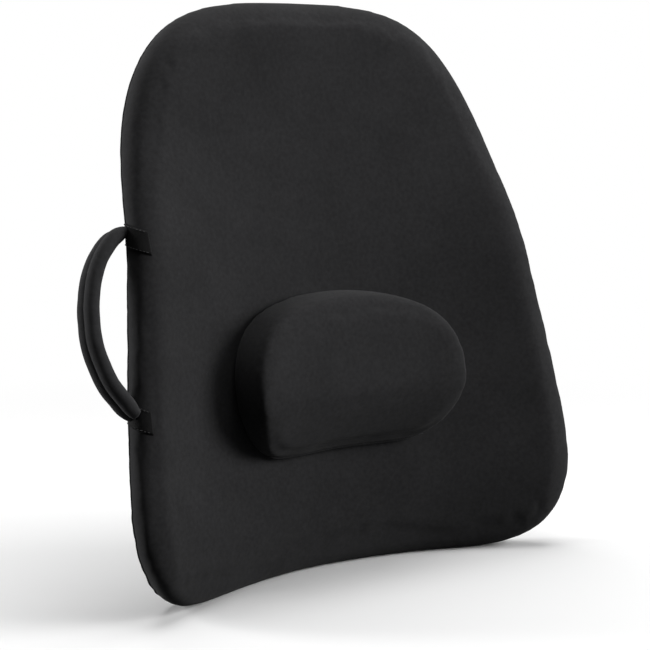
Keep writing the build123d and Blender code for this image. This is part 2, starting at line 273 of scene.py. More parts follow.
def backrest_rings(inset, count=200, steps=9, inner=14):
    """Rings of points over the whole cushion: rear centre, rear face, rim, front face, front centre."""
    outline = closed_curve(mirrored(HALF_OUTLINE), count)
    normal = inward(outline)
    foot = np.clip((outline[:, 1] - 10.0) / 60.0, 0.0, 1.0)
    rim = RIM_FOOT + (RIM - RIM_FOOT) * foot * foot * (3 - 2 * foot)
    centre = np.array([0.0, 250.0])
    rings = []
    for side in (1.0, -1.0):
        half = []
        for i in range(inner):
            scale = (i + 0.6) / inner
            flat = centre + (outline + normal * (rim + inset)[:, None] - centre) * scale
            half.append((flat, FACE - inset))
        for i in range(steps + 1):
            angle = math.pi / 2 * (1 - i / steps)
            flat = outline + normal * (rim * (1 - math.cos(angle)) + inset)[:, None]
            half.append((flat, (FACE - inset) * math.sin(angle)))
        layer = [np.column_stack([f[:, 0], middle(f[:, 0], f[:, 1]) + side * h, f[:, 1]]) for f, h in half]
        rings += layer if side > 0 else layer[::-1][1:]
    return rings


def backrest_shell(name, inset):
    """Closed shell of the cushion, shrunk by an inset."""
    return rings_to_mesh(name, backrest_rings(inset))


def cut_along(obj, field):
    """Splits faces so that the zero line of a function of position runs along mesh edges."""
    bm = bmesh.new()
    bm.from_mesh(obj.data)
    values = {v: field(v.co / MM) for v in bm.verts}
    new = set()
    for edge in list(bm.edges):
        a, b = edge.verts
        fa, fb = values[a], values[b]
        if fa * fb < 0:
            _, vert = bmesh.utils.edge_split(edge, a, fa / (fa - fb))
            new.add(vert)
    for face in list(bm.faces):
        hits = [v for v in face.verts if v in new]
        if len(hits) == 2 and not any(hits[0] in e.verts and hits[1] in e.verts for e in face.edges):
            bmesh.utils.face_split(face, hits[0], hits[1])
    bm.to_mesh(obj.data)
    bm.free()


def keep_faces(obj, name, wanted):
    """A copy of obj with only the faces whose centre passes a test."""
    copy = bpy.data.objects.new(name, obj.data.copy())
    bpy.context.scene.collection.objects.link(copy)
    bm = bmesh.new()
    bm.from_mesh(copy.data)
    gone = [f for f in bm.faces if not wanted(f.calc_center_median() / MM)]
    bmesh.ops.delete(bm, geom=gone, context="FACES")
    bm.to_mesh(copy.data)
    bm.free()
    for polygon in copy.data.polygons:
        polygon.use_smooth = True
    return copy


def above_seam(point):
    """Signed distance in depth from the seam line: positive on the rear panel."""
    return point[1] - float(middle(point[0], point[2])) - SEAM_DEPTH


def sculpt_backrest(obj):
    """Foot, seam tuck, zip recess, soft undulation and the small wrinkles along the rear edge."""
    points = coordinates(obj)
    normals = vertex_normals(obj)
    depth = points[:, 1] - middle(points[:, 0], points[:, 2]) - SEAM_DEPTH
    rim = np.exp(-(depth / 2.2) ** 2)
    edge = np.exp(-((depth - 1.0) / 7.0) ** 2)
    low = np.clip((190.0 - points[:, 2]) / 120.0, 0.0, 1.0)
    sides = np.clip((np.abs(points[:, 0]) - 190.0) / 30.0, 0.0, 1.0)
    shift = np.zeros(len(points))
    for i, p in enumerate(points):
        soft = 0.55 * smooth_noise(p, 70.0) + 0.18 * smooth_noise(p, 22.0, 3.0)
        pucker = smooth_noise((p[0], p[2] * 0.2, p[2]), 7.0, 5.0)
        shift[i] = soft + edge[i] * (0.35 + 1.15 * low[i] * sides[i]) * pucker
    shift -= 1.1 * rim
    points += normals * shift[:, None]
    rear = points[:, 1] > middle(points[:, 0], points[:, 2])
    slit = np.clip(1.0 - np.abs(points[:, 2] - ZIP_Z) / 6.5, 0.0, 1.0) ** 0.5
    ends = np.clip((ZIP_REACH + 2 - np.abs(points[:, 0])) / 4.0, 0.0, 1.0)
    points[:, 1] -= np.where(rear, ZIP_RECESS * slit * ends, 0.0)
    floor = points[:, 2]
    points[:, 2] = np.where(floor < 1.2, 0.25 + 0.95 * np.clip(floor, 0, 1.2) / 1.2, floor)
    set_coordinates(obj, points)


def backrest_cover():
    """The zipped fabric cover: one puffed shell, cut along the seam into a front and a rear panel."""
    shell = backrest_shell("cover_shell", COVER_INSET)
    puff(shell, 5.0, 4.0, 1.6, pinned=lambda p: np.abs(p[:, 1] - middle(p[:, 0], p[:, 2]) - SEAM_DEPTH) < 2.0)
    subdivide(shell)
    sculpt_backrest(shell)
    cut_along(shell, above_seam)
    front = keep_faces(shell, "front_cover_fabric", lambda c: above_seam(c) < 0)
    rear = keep_faces(shell, "rear_cover_fabric", lambda c: above_seam(c) >= 0)
    bpy.data.objects.remove(shell)
    for panel, node in ((front, "front_cover"), (rear, "rear_cover")):
        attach(panel, "backrest")
        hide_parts(node)
        panel.data.materials.clear()
        panel.data.materials.append(MATERIAL["cover_fabric"])
    return front, rear


def surface_tree(*objects):
    """One search tree over the visible surface of several meshes."""
    verts, faces = [], []
    for obj in objects:
        base = len(verts)
        verts += [v.co.copy() for v in obj.data.vertices]
        faces += [[base + i for i in p.vertices] for p in obj.data.polygons]
    return BVHTree.FromPolygons(verts, faces)


def hugged(tree, points, lift):
    """Moves millimetre points onto a surface, a small lift above it; returns points and normals."""
    placed, normals = [], []
    for p in points:
        hit, normal, _, _ = tree.find_nearest(Vector(p) * MM)
        placed.append(np.array(hit) / MM + np.array(normal) * lift)
        normals.append(np.array(normal))
    return np.array(placed), np.array(normals)


def ribbon(name, centre, across, normals, width, thick, columns=9):
    """Webbing: a flat strip with rounded edges along a line of points, with UVs in millimetres."""
    profile = []
    for k in range(columns):
        u = -1 + 2 * k / (columns - 1)
        profile.append((u * width / 2, thick / 2 * (1 - abs(u) ** 8)))
    loop = profile + [(u, -v) for u, v in reversed(profile)]
    rings, uv, run = [], [], 0.0
    for i, (c, a, n) in enumerate(zip(centre, across, normals)):
        if i:
            run += np.linalg.norm(c - centre[i - 1])
        rings.append(np.array([c + a * u + n * v for u, v in loop]))
        uv += [(run, u) for u, v in loop]
    verts = np.vstack(rings)
    count = len(loop)
    faces = []
    for i in range(len(rings) - 1):
        for j in range(count):
            k = (j + 1) % count
            faces.append((i * count + j, i * count + k, (i + 1) * count + k, (i + 1) * count + j))
    last = (len(rings) - 1) * count
    faces.append(tuple(range(count)))
    faces.append(tuple(last + j for j in range(count)))
    return finish_normals(mesh_object(name, verts, faces, uv))


def unit(v):
    v = np.asarray(v, float)
    return v / np.linalg.norm(v)


def resample(points, count):
    """Evenly spaced points along a polyline."""
    points = np.asarray(points, float)
    run = np.concatenate([[0], np.cumsum(np.linalg.norm(np.diff(points, axis=0), axis=1))])
    at = np.linspace(0, run[-1], count)
    return np.column_stack([np.interp(at, run, points[:, k]) for k in range(3)])


def open_curve(points, count):
    """Evenly spaced points on a smooth open curve through the given ones (any dimension)."""
    pts = np.asarray(points, float)
    n = len(pts)
    ghost = np.vstack([2 * pts[0] - pts[1], pts, 2 * pts[-1] - pts[-2]])
    dense = []
    for i in range(n - 1):
        p0, p1, p2, p3 = ghost[i:i + 4]
        for t in np.linspace(0, 1, 40, endpoint=False):
            dense.append(0.5 * (2 * p1 + (p2 - p0) * t + (2 * p0 - 5 * p1 + 4 * p2 - p3) * t * t
                                + (3 * p1 - p0 - 3 * p2 + p3) * t ** 3))
    dense.append(pts[-1])
    dense = np.array(dense)
    run = np.concatenate([[0], np.cumsum(np.linalg.norm(np.diff(dense, axis=0), axis=1))])
    at = np.linspace(0, run[-1], count)
    return np.column_stack([np.interp(at, run, dense[:, k]) for k in range(dense.shape[1])])


def tube(name, path, radius, sides=10):
    """A round cord along a path."""
    path = np.asarray(path, float)
    along = np.gradient(path, axis=0)
    rings = []
    side = unit(np.cross(along[0], (0.3, 0.5, 0.8)))
    for p, t in zip(path, along):
        t = unit(t)
        side = unit(side - t * np.dot(side, t))
        other = np.cross(t, side)
        rings.append(np.array([p + radius * (math.cos(a) * side + math.sin(a) * other)
                               for a in np.linspace(0, 2 * math.pi, sides, endpoint=False)]))
    return rings_to_mesh(name, rings)


STITCH_SWELL = (0.35, 0.9, 1.0, 0.9, 0.35)
STITCH_SIDES = 6


def stitches(name, lines, normals, body, pitch=3.2, length=2.1, radius=0.32):
    """Rows of thread stitches: each is a short arched thread lying on the surface."""
    verts, faces = [], []
    stations, sides = len(STITCH_SWELL), STITCH_SIDES
    for line, normal in zip(lines, normals):
        run = np.concatenate([[0], np.cumsum(np.linalg.norm(np.diff(line, axis=0), axis=1))])
        count = int((run[-1] - length) / pitch) + 1
        for k in range(count):
            at = k * pitch + (run[-1] - (count - 1) * pitch - length) / 2
            spans = np.linspace(at, at + length, stations)
            spine = np.column_stack([np.interp(spans, run, line[:, c]) for c in range(3)])
            up = np.column_stack([np.interp(spans, run, normal[:, c]) for c in range(3)])
            along = unit(spine[-1] - spine[0])
            lift = radius * np.sin(np.linspace(0, math.pi, stations))
            fat = radius * np.array(STITCH_SWELL)
            base = len(verts)
            for s, n, h, r in zip(spine, up, lift, fat):
                n = unit(n)
                b = unit(np.cross(along, n))
                for a in np.linspace(0, 2 * math.pi, sides, endpoint=False):
                    verts.append(s + n * (h + r * math.sin(a)) + b * r * math.cos(a))
            for i in range(stations - 1):
                ring = base + i * sides
                for j in range(sides):
                    k2 = (j + 1) % sides
                    faces.append((ring + j, ring + k2, ring + sides + k2, ring + sides + j))
            last = base + (stations - 1) * sides
            faces.append(tuple(base + j for j in range(sides)))
            faces.append(tuple(last + j for j in reversed(range(sides))))
    obj = finish_normals(mesh_object(name, verts, faces))
    dress(obj, body, "thread", "webbing")
    return obj


def dress(obj, body, material, slot, *nodes):
    """Gives a piece its material, body and the CAD nodes it stands for. The slot argument is not used."""
    obj.data.materials.clear()
    obj.data.materials.append(MATERIAL[material])
    if body:
        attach(obj, body)
    if nodes:
        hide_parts(*nodes)
    return obj


# ------------------------------------------------------------------ materials
class Graph:
    """Short-hand for building one node material."""

    def __init__(self, material):
        self.material = material
        self.material.use_nodes = True
        self.tree = self.material.node_tree
        self.shader = self.tree.nodes["Principled BSDF"]

    def node(self, kind, **values):
        node = self.tree.nodes.new(kind)
        for key, value in values.items():
            if hasattr(node, key):
                setattr(node, key, value)
            else:
                node.inputs[key].default_value = value
        return node

    def link(self, source, target):
        self.tree.links.new(source, target)

    def math(self, operation, first, second=None):
        node = self.node("ShaderNodeMath", operation=operation)
        for slot, value in zip(node.inputs, (first, second)):
            if value is None:
                continue
            if isinstance(value, (int, float)):
                slot.default_value = value
            else:
                self.link(value, slot)
        return node.outputs[0]

    def noise(self, vector, scale, detail=3.0):
        node = self.node("ShaderNodeTexNoise", Scale=scale, Detail=detail)
        self.link(vector, node.inputs["Vector"])
        return node.outputs["Fac"]

    def colours(self, factor, dark, light, low=0.3, high=0.7):
        ramp = self.node("ShaderNodeValToRGB")
        for element, place, colour in zip(ramp.color_ramp.elements, (low, high), (dark, light)):
            element.position = place
            element.color = (*colour, 1)
        self.link(factor, ramp.inputs[0])
        self.link(ramp.outputs[0], self.shader.inputs["Base Color"])

    def bump(self, height, strength, distance):
        node = self.node("ShaderNodeBump", Strength=strength, Distance=distance)
        self.link(height, node.inputs["Height"])
        self.link(node.outputs[0], self.shader.inputs["Normal"])

    def split(self, vector):
        node = self.node("ShaderNodeSeparateXYZ")
        self.link(vector, node.inputs[0])
        return node.outputs[0], node.outputs[1], node.outputs[2]


def wave(graph, value, pitch):
    """A sine of a coordinate, in metres, with the given pitch in millimetres."""
    return graph.math("SINE", graph.math("MULTIPLY", value, 2 * math.pi / (pitch * MM)))


def knit(name, dark, light, sheen, pitch=1.1, depth=0.00012):
    """Jersey knit: fine wales and courses in object space, soft mottling and a fabric sheen."""
    graph = Graph(bpy.data.materials.new(name))
    place = graph.node("ShaderNodeTexCoord").outputs["Object"]
    x, y, z = graph.split(place)
    across = graph.math("ADD", x, graph.math("MULTIPLY", y, 0.9))
    rows = graph.math("ADD", z, graph.math("MULTIPLY", y, 0.25))
    loops = graph.math("MULTIPLY", wave(graph, across, pitch), wave(graph, rows, pitch * 0.8))
    fuzz = graph.noise(place, 1400.0, 2.0)
    height = graph.math("ADD", graph.math("MULTIPLY", loops, 0.5), graph.math("MULTIPLY", fuzz, 0.8))
    graph.bump(height, 0.55, depth)
    mottle = graph.math("ADD", graph.math("MULTIPLY", graph.noise(place, 260.0, 5.0), 0.6),
                        graph.math("MULTIPLY", graph.noise(place, 18.0, 4.0), 0.4))
    graph.colours(mottle, dark, light, 0.35, 0.65)
    shader = graph.shader.inputs
    shader["Roughness"].default_value = 0.92
    shader["Specular IOR Level"].default_value = 0.10
    shader["Sheen Weight"].default_value = sheen
    shader["Sheen Roughness"].default_value = 0.55
    return graph.material


def woven(name, dark, light, pitch_u=1.5, pitch_v=2.2, roughness=0.75):
    """Webbing or tape: ribs across its length and rows along it, on UVs in millimetres."""
    graph = Graph(bpy.data.materials.new(name))
    place = graph.node("ShaderNodeTexCoord")
    u, v, _ = graph.split(place.outputs["UV"])
    ribs = graph.math("SINE", graph.math("MULTIPLY", u, 2 * math.pi / pitch_u))
    rows = graph.math("SINE", graph.math("MULTIPLY", v, 2 * math.pi / pitch_v))
    weave = graph.math("MULTIPLY", ribs, rows)
    fibre = graph.noise(place.outputs["Object"], 1600.0, 2.0)
    graph.bump(graph.math("ADD", weave, graph.math("MULTIPLY", fibre, 0.5)), 0.6, 0.00015)
    graph.colours(graph.noise(place.outputs["Object"], 500.0, 4.0), dark, light)
    graph.shader.inputs["Roughness"].default_value = roughness
    graph.shader.inputs["Specular IOR Level"].default_value = 0.12
    return graph.material


def grained(name, dark, light, roughness, grain=900.0, depth=0.00004, metallic=0.0, spread=0.12):
    """Moulded plastic or coated metal: fine grain, colour drift and uneven gloss."""
    graph = Graph(bpy.data.materials.new(name))
    place = graph.node("ShaderNodeTexCoord").outputs["Object"]
    graph.bump(graph.noise(place, grain, 4.0), 0.4, depth)
    drift = graph.noise(place, 60.0, 4.0)
    graph.colours(drift, dark, light)
    gloss = graph.math("ADD", graph.math("MULTIPLY", drift, spread), roughness - spread / 2)
    graph.link(gloss, graph.shader.inputs["Roughness"])
    graph.shader.inputs["Metallic"].default_value = metallic
    return graph.material


def cellular(name, dark, light, scale, depth):
    """Open-cell foam or hook tape: small voronoi cells."""
    graph = Graph(bpy.data.materials.new(name))
    place = graph.node("ShaderNodeTexCoord").outputs["Object"]
    cells = graph.node("ShaderNodeTexVoronoi", Scale=scale)
    graph.link(place, cells.inputs["Vector"])
    graph.bump(cells.outputs["Distance"], 0.7, depth)
    graph.colours(cells.outputs["Distance"], dark, light, 0.1, 0.7)
    graph.shader.inputs["Roughness"].default_value = 0.9
    return graph.material


def grey(value, warmth=0.0):
    return (value * (1 + warmth), value, value * (1.05 - warmth))


MATERIAL = {
    "cover_fabric": knit("cover_knit", grey(0.014), grey(0.022), 0.04),
    "pad_fabric": knit("pad_knit", grey(0.014), grey(0.022), 0.04),
    "handle_fabric": knit("handle_knit", grey(0.018), grey(0.028), 0.05, 0.8),
    "webbing": woven("webbing_weave", grey(0.003), grey(0.006)),
    "thread": grained("thread_fibre", grey(0.02), grey(0.035), 0.6, 2500.0, 0.00005),
    "foam": cellular("foam_cells", (0.42, 0.41, 0.36), (0.62, 0.61, 0.56), 700.0, 0.0004),
    "frame": grained("frame_plastic", grey(0.045), grey(0.065), 0.5, 700.0, 0.00008),
    "buckle_plastic": grained("acetal", grey(0.014), grey(0.022), 0.38),
    "zip_tape": woven("zip_weave", grey(0.01), grey(0.018), 1.0, 1.3),
    "zip_teeth": grained("teeth_plastic", grey(0.02), grey(0.035), 0.35),
    "zip_metal": grained("coated_metal", grey(0.025), grey(0.04), 0.3, 1200.0, 0.00002, 0.9, 0.2),
    "hook_tape": cellular("hook_pile", grey(0.01), grey(0.028), 1100.0, 0.0005),
    "floor": grained("floor_paper", (0.80, 0.80, 0.80), (0.82, 0.82, 0.82), 0.85, 40.0, 0.00005),
}


def fade_floor(material, near, far):
    """The floor turns into the white surround with distance, for the camera only."""
    graph = Graph(material)
    place = graph.node("ShaderNodeTexCoord").outputs["Object"]
    length = graph.node("ShaderNodeVectorMath", operation="LENGTH")
    graph.link(place, length.inputs[0])
    reach = graph.node("ShaderNodeMapRange")
    reach.interpolation_type = "SMOOTHSTEP"
    reach.inputs["From Min"].default_value = near
    reach.inputs["From Max"].default_value = far
    graph.link(length.outputs["Value"], reach.inputs["Value"])
    rays = graph.node("ShaderNodeLightPath")
    factor = graph.math("MULTIPLY", reach.outputs[0], rays.outputs["Is Camera Ray"])
    glow = graph.node("ShaderNodeEmission", Strength=1.0)
    mix = graph.node("ShaderNodeMixShader")
    graph.link(factor, mix.inputs[0])
    graph.link(graph.shader.outputs[0], mix.inputs[1])
    graph.link(glow.outputs[0], mix.inputs[2])
    graph.link(mix.outputs[0], graph.tree.nodes["Material Output"].inputs[0])
    tone = graph.node("ShaderNodeMapRange")
    tone.inputs["To Min"].default_value = 0.10
    tone.inputs["To Max"].default_value = 0.82
    graph.link(rays.outputs["Is Camera Ray"], tone.inputs["Value"])
    colour = graph.node("ShaderNodeCombineColor")
    for slot in colour.inputs:
        graph.link(tone.outputs[0], slot)
    graph.link(colour.outputs[0], graph.shader.inputs["Base Color"])


fade_floor(MATERIAL["floor"], 0.42, 1.1)


# ------------------------------------------------------------------ foam and seam
def foam_layer(name, node, low, high):
    """A foam layer: the cushion's shell with its depth held between two surfaces."""
    rings = []
    for ring in backrest_rings(FOAM_INSET):
        base = middle(ring[:, 0], ring[:, 2])
        depth = np.clip(ring[:, 1] - base, low, high)
        rings.append(np.column_stack([ring[:, 0], base + depth, ring[:, 2]]))
    layer = rings_to_mesh(name, rings)
    return dress(layer, "backrest", "foam", "foam", node)


def foam_cores():
    """The two foam layers inside the cover, in front of and behind the frame."""
    foam_layer("front_foam_core", "front_foam", -60.0, 1.5)
    foam_layer("rear_foam_core", "rear_foam", 12.6, 14.8)


def seam_line(tree, count=720):
    """The sewn line between the two cover panels, on the visible surface."""
    outline = closed_curve(mirrored(HALF_OUTLINE), count)
    ring = []
    for x, z in outline:
        ring.append((x, float(middle(x, z)) + SEAM_DEPTH, z))
    placed, normals = hugged(tree, ring, 0.0)
    placed[:, 2] = np.maximum(placed[:, 2], 0.9)
    return placed, normals


def seam_piping(tree):
    """Narrow corded welt along the seam between the two cover panels."""
    line, normals = seam_line(tree)
    line = line + normals * 0.1
    radius = 1.15
    along = np.roll(line, -1, axis=0) - np.roll(line, 1, axis=0)
    verts, faces = [], []
    sides = 8
    count = len(line)
    for p, t, n in zip(line, along, normals):
        b = unit(np.cross(t, n))
        n = unit(np.cross(b, t))
        for a in np.linspace(0, 2 * math.pi, sides, endpoint=False):
            verts.append(p + radius * (math.cos(a) * b + math.sin(a) * n))
    for i in range(count):
        for j in range(sides):
            k, m = (j + 1) % sides, (i + 1) % count
            faces.append((i * sides + j, i * sides + k, m * sides + k, m * sides + j))
    verts = np.array(verts)
    verts[:, 2] = np.maximum(verts[:, 2], 0.05)
    welt = finish_normals(mesh_object("seam_piping", verts, faces))
    return dress(welt, "backrest", "cover_fabric", "cover_fabric", "seam_welt")


# ------------------------------------------------------------------ lumbar pad
PAD_HALF = [
    (0, 118), (72, 118), (98, 129), (115, 158), (120, 189), (113, 220), (90, 246), (48, 260), (0, 264),
]
PAD_EDGE, PAD_CROWN = 10.0, 3.5
PAD_EYE = np.array([0.0, 188.0])
HOOK_X, HOOK_WIDTH = 45.0, 25.0
HOOK_LOW, HOOK_HIGH = 133, 234


def pad_height(z):
    """How far the pad stands out: thin at its lower edge and full from a third up."""
    rise = np.clip((z - 118.0) / 66.0, 0.0, 1.0)
    fall = np.clip((z - 225.0) / 40.0, 0.0, 1.0)
    return 17.0 + 31.0 * np.sin(math.pi / 2 * rise) ** 0.9 - 2.5 * fall * fall


def front_depth(tree, x, z):
    """Depth of the cover's front face at a place in the front view."""
    hit, _, _, _ = tree.ray_cast(Vector((x, -400.0, z)) * MM, Vector((0, 1, 0)))
    return hit[1] / MM if hit else float(middle(x, z)) - FACE


def pad_shell(name, tree, inset, count=160):
    """Closed shell of the pad: seated base, near-upright wall, rounded edge and crowned front."""
    outline = closed_curve(mirrored(PAD_HALF), count)
    normal = inward(outline)
    base = np.array([front_depth(tree, x, z) for x, z in outline + normal * 1.5])
    rings = []
    for scale in (0.04, 0.35, 0.7):
        flat = PAD_EYE + (outline + normal * (2.0 + inset) - PAD_EYE) * scale
        depth = [front_depth(tree, x, z) - 0.9 - inset for x, z in flat]
        rings.append(np.column_stack([flat[:, 0], depth, flat[:, 1]]))
    edge = PAD_EDGE
    flat = outline + normal * (1.4 + inset)
    rings.append(np.column_stack([flat[:, 0], base - 0.7 - inset, flat[:, 1]]))
    height = pad_height(outline[:, 1]) - inset
    for share in (0.05, 0.3, 0.55, 0.8, 1.0):
        lift = 0.7 + inset + (height - edge - 0.7 - inset) * share
        swell = 1.1 * math.sin(math.pi * share)
        flat = outline + normal * (inset + 0.9 - swell)
        rings.append(np.column_stack([flat[:, 0], base - lift, flat[:, 1]]))
    for i in range(1, 7):
        angle = math.pi / 2 * i / 6
        flat = outline + normal * (inset + 0.9 + edge * 0.85 * (1 - math.cos(angle)))
        depth = middle(flat[:, 0], flat[:, 1]) - FACE
        blend = i / 6
        depth = depth * blend + base * (1 - blend) - (height - edge + edge * math.sin(angle))
        rings.append(np.column_stack([flat[:, 0], depth, flat[:, 1]]))
    last = outline + normal * (inset + 0.9 + edge * 0.85)
    for i in range(13, -1, -1):
        scale = (i + 0.4) / 14
        flat = PAD_EYE + (last - PAD_EYE) * scale
        crown = PAD_CROWN * (1 - scale ** 2)
        depth = middle(flat[:, 0], flat[:, 1]) - FACE - (pad_height(flat[:, 1]) - inset) - crown
        rings.append(np.column_stack([flat[:, 0], depth, flat[:, 1]]))
    return rings_to_mesh(name, rings)


def lumbar_pad(tree):
    """Pad cover, foam, back panel, lower hem and the hook strips behind it."""
    cover = pad_shell("pad_cover_fabric", tree, 0.0)
    known = {}

    def seated(points):
        """The pad's base, which stays where it lies on the cover."""
        face = [known.setdefault((round(x), round(z)), front_depth(tree, x, z)) for x, _, z in points]
        return points[:, 1] > np.array(face) - 3.0

    puff(cover, 4.0, 4.0, 1.2, pinned=seated)
    subdivide(cover)
    points = coordinates(cover)
    shift = np.array([0.35 * smooth_noise(p, 45.0, 9.0) + 0.12 * smooth_noise(p, 15.0, 2.0) for p in points])
    set_coordinates(cover, points + vertex_normals(cover) * shift[:, None])
    dress(cover, "lumbar_pad", "pad_fabric", "pad_fabric", "pad_cover")
    foam = pad_shell("pad_foam_core", tree, 3.2)
    dress(foam, "lumbar_pad", "foam", "foam", "pad_foam")

    outline = closed_curve(mirrored(PAD_HALF), 120)
    ring = outline + inward(outline) * 6.0
    rings = []
    for scale, lift in ((0.05, 0.35), (0.5, 0.35), (1.0, 0.35), (1.0, 0.8), (0.5, 0.8), (0.05, 0.8)):
        flat = PAD_EYE + (ring - PAD_EYE) * scale
        depth = [front_depth(tree, x, z) - lift for x, z in flat]
        rings.append(np.column_stack([flat[:, 0], depth, flat[:, 1]]))
    panel = rings_to_mesh("pad_loop_panel", rings)
    dress(panel, "lumbar_pad", "hook_tape", "hook_tape", "pad_back_panel")

    pad_tree = surface_tree(cover)
    line = []
    for x in np.linspace(-88, 91, 90):
        z = 117.0 + 2.2 * max(0.0, (abs(x) - 74.0) / 16.0) ** 2
        y = float(middle(x, z)) - FACE - 7.5
        line.append((x, y, z))
    line, normals = hugged(pad_tree, line, 0.35)
    radius = np.interp(np.linspace(0, 1, len(line)), (0, 0.04, 0.95, 1.0), (0.3, 1.2, 1.2, 0.25))
    tip = np.linspace(0, 1, len(line))
    line += np.outer(np.clip((tip - 0.94) / 0.06, 0, 1) ** 2, (2.5, -0.5, -1.5))
    sides = 10
    hem = tube("pad_lower_hem", line, 1.0, sides)
    moved = coordinates(hem)
    for i, r in enumerate(radius):
        ring = slice(i * sides, (i + 1) * sides)
        moved[ring] = line[i] + (moved[ring] - line[i]) * r
    set_coordinates(hem, moved)
    dress(hem, "lumbar_pad", "pad_fabric", "pad_fabric", "pad_hem")

    for side, label in ((-1, "left"), (1, "right")):
        rows = []
        for z in np.linspace(HOOK_LOW, HOOK_HIGH, 40):
            rows.append((HOOK_X * side, front_depth(tree, HOOK_X * side, z) - 0.05, z))
        rows = np.array(rows)
        strip = ribbon("hook_strip_tape_" + label, rows, [np.array((1.0, 0, 0))] * len(rows),
                       [np.array((0, -1.0, 0.1))] * len(rows), HOOK_WIDTH, 0.5)
        dress(strip, "pad_grip", "hook_tape", "hook_tape", "hook_strip_" + label)


# ------------------------------------------------------------------ carry handle
HANDLE_LOW = np.array((-236.0, -66.0, 180.0))
HANDLE_HIGH = np.array((-214.0, -14.0, 328.0))
HANDLE_LINE = [  # along the line between the anchors, and out from it
    (0, 1.5), (4, 6), (11.5, 12.5), (26, 24.5), (43, 32.5), (61, 38.2), (82, 39.8), (97, 39.2), (117, 35.6),
    (135, 28.6), (151, 17.4), (158, 8.5), (161, 3),
]
TUBE_RADIUS, TUBE_SPACING, CORD_RADIUS = 6.9, 12.4, 4.6


def handle_axes():
    """Unit vectors of the loop: along its anchors, outward, and across the band."""
    along = unit(HANDLE_HIGH - HANDLE_LOW)
    across = unit(np.cross(along, (-1.0, 0.0, 0.0)))
    return along, unit(np.cross(across, along)), across


def handle_spine(count):
    """Points of the loop's centre line and the outward normal at each."""
    along, outward, across = handle_axes()
    if outward[0] > 0:
        outward = -outward
    flat = open_curve(HANDLE_LINE, count)
    points = HANDLE_LOW + np.outer(flat[:, 0], along) + np.outer(flat[:, 1], outward)
    direction = np.gradient(points, axis=0)
    normals = []
    for d in direction:
        n = unit(np.cross(across, d))
        normals.append(n if np.dot(n, outward) > 0 or abs(np.dot(n, outward)) < 0.05 else -n)
    return points, np.array(normals), across


def twin_profile():
    """Outline of the padded band: two round cords side by side with a groove between them."""
    half, radius = TUBE_SPACING / 2, TUBE_RADIUS
    waist = math.acos(-half / radius)
    right = [(half + radius * math.cos(a), radius * math.sin(a)) for a in np.linspace(-waist, waist, 19)]
    right[0] = (0.0, right[0][1])
    left = [(-x, -y) for x, y in right[1:-1]]
    return [right[0]] + right[1:-1] + [(0.0, -right[0][1])] + left


def carry_handle():
    """Padded sleeve with twin cords, the webbing inside it and the cords themselves."""
    count = 110
    points, normals, across = handle_spine(count)
    profile = twin_profile()
    run = np.linspace(0, 1, count)
    ends = np.minimum(1.0, np.minimum(run, 1 - run) / 0.07)
    full = 0.6 + 0.4 * np.sin(math.pi / 2 * ends)
    rings = []
    for i, (p, n) in enumerate(zip(points, normals)):
        ring = []
        for u, v in profile:
            seed = p + across * u
            wobble = 1 + 0.018 * smooth_noise(seed, 11.0, 4.0) + 0.012 * smooth_noise(seed, 4.0, 8.0)
            ring.append(p + across * u * (0.82 + 0.18 * ends[i]) * wobble + n * v * full[i] * wobble)
        rings.append(np.array(ring))
    sleeve = rings_to_mesh("handle_sleeve_fabric", rings)
    subdivide(sleeve)
    dress(sleeve, "handle", "handle_fabric", "handle_fabric", "handle_sleeve")
    cords = []
    for sign in (-1, 1):
        path = points[8:-8] + across * sign * TUBE_SPACING / 2
        cords.append(tube("handle_cord_foam_" + ("a" if sign < 0 else "b"), path,
                          CORD_RADIUS, 16))
        dress(cords[-1], "handle", "foam", "foam")
    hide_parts("handle_cords")
    band = ribbon("handle_webbing_strip", points[7:-7] - normals[7:-7] * 0.2, [across] * (count - 14),
                  normals[7:-7], 10.0, 1.2)
    dress(band, "handle", "webbing", "webbing", "handle_webbing")
    rows, ups = [], []
    for offset in (-0.55, 0.55):
        rows.append(points[10:-10] + across * offset + normals[10:-10] * 3.35)
        ups.append(normals[10:-10])
    stitches("handle_groove_stitches", rows, ups, "handle", 3.0, 2.0, 0.25)


WHOLE_RING = closed_curve(mirrored(HALF_OUTLINE), 800)
ON_LEFT = (WHOLE_RING[:, 0] < -150) & (WHOLE_RING[:, 1] > 60)
LEFT_ORDER = np.argsort(WHOLE_RING[ON_LEFT][:, 1])
LEFT_SIDE = WHOLE_RING[ON_LEFT][LEFT_ORDER]
LEFT_NORMALS = inward(WHOLE_RING)[ON_LEFT][LEFT_ORDER]
TAB_WIDTH, TAB_THICK = 20.0, 1.5
TAB_TURNS = (-54.0, 37.0)


def left_rim(z, turn):
    """A point on the left rim at a height: turn runs from the front face (-90) to the rear face (90)."""
    ring = LEFT_SIDE
    index = int(np.argmin(np.abs(ring[:, 1] - z)))
    normal = LEFT_NORMALS[index]
    angle = math.radians(turn)
    flat = np.array((np.interp(z, ring[:, 1], ring[:, 0]), z)) + normal * RIM * (1 - math.cos(angle))
    return np.array((flat[0], float(middle(flat[0], flat[1])) + FACE * math.sin(angle), flat[1]))


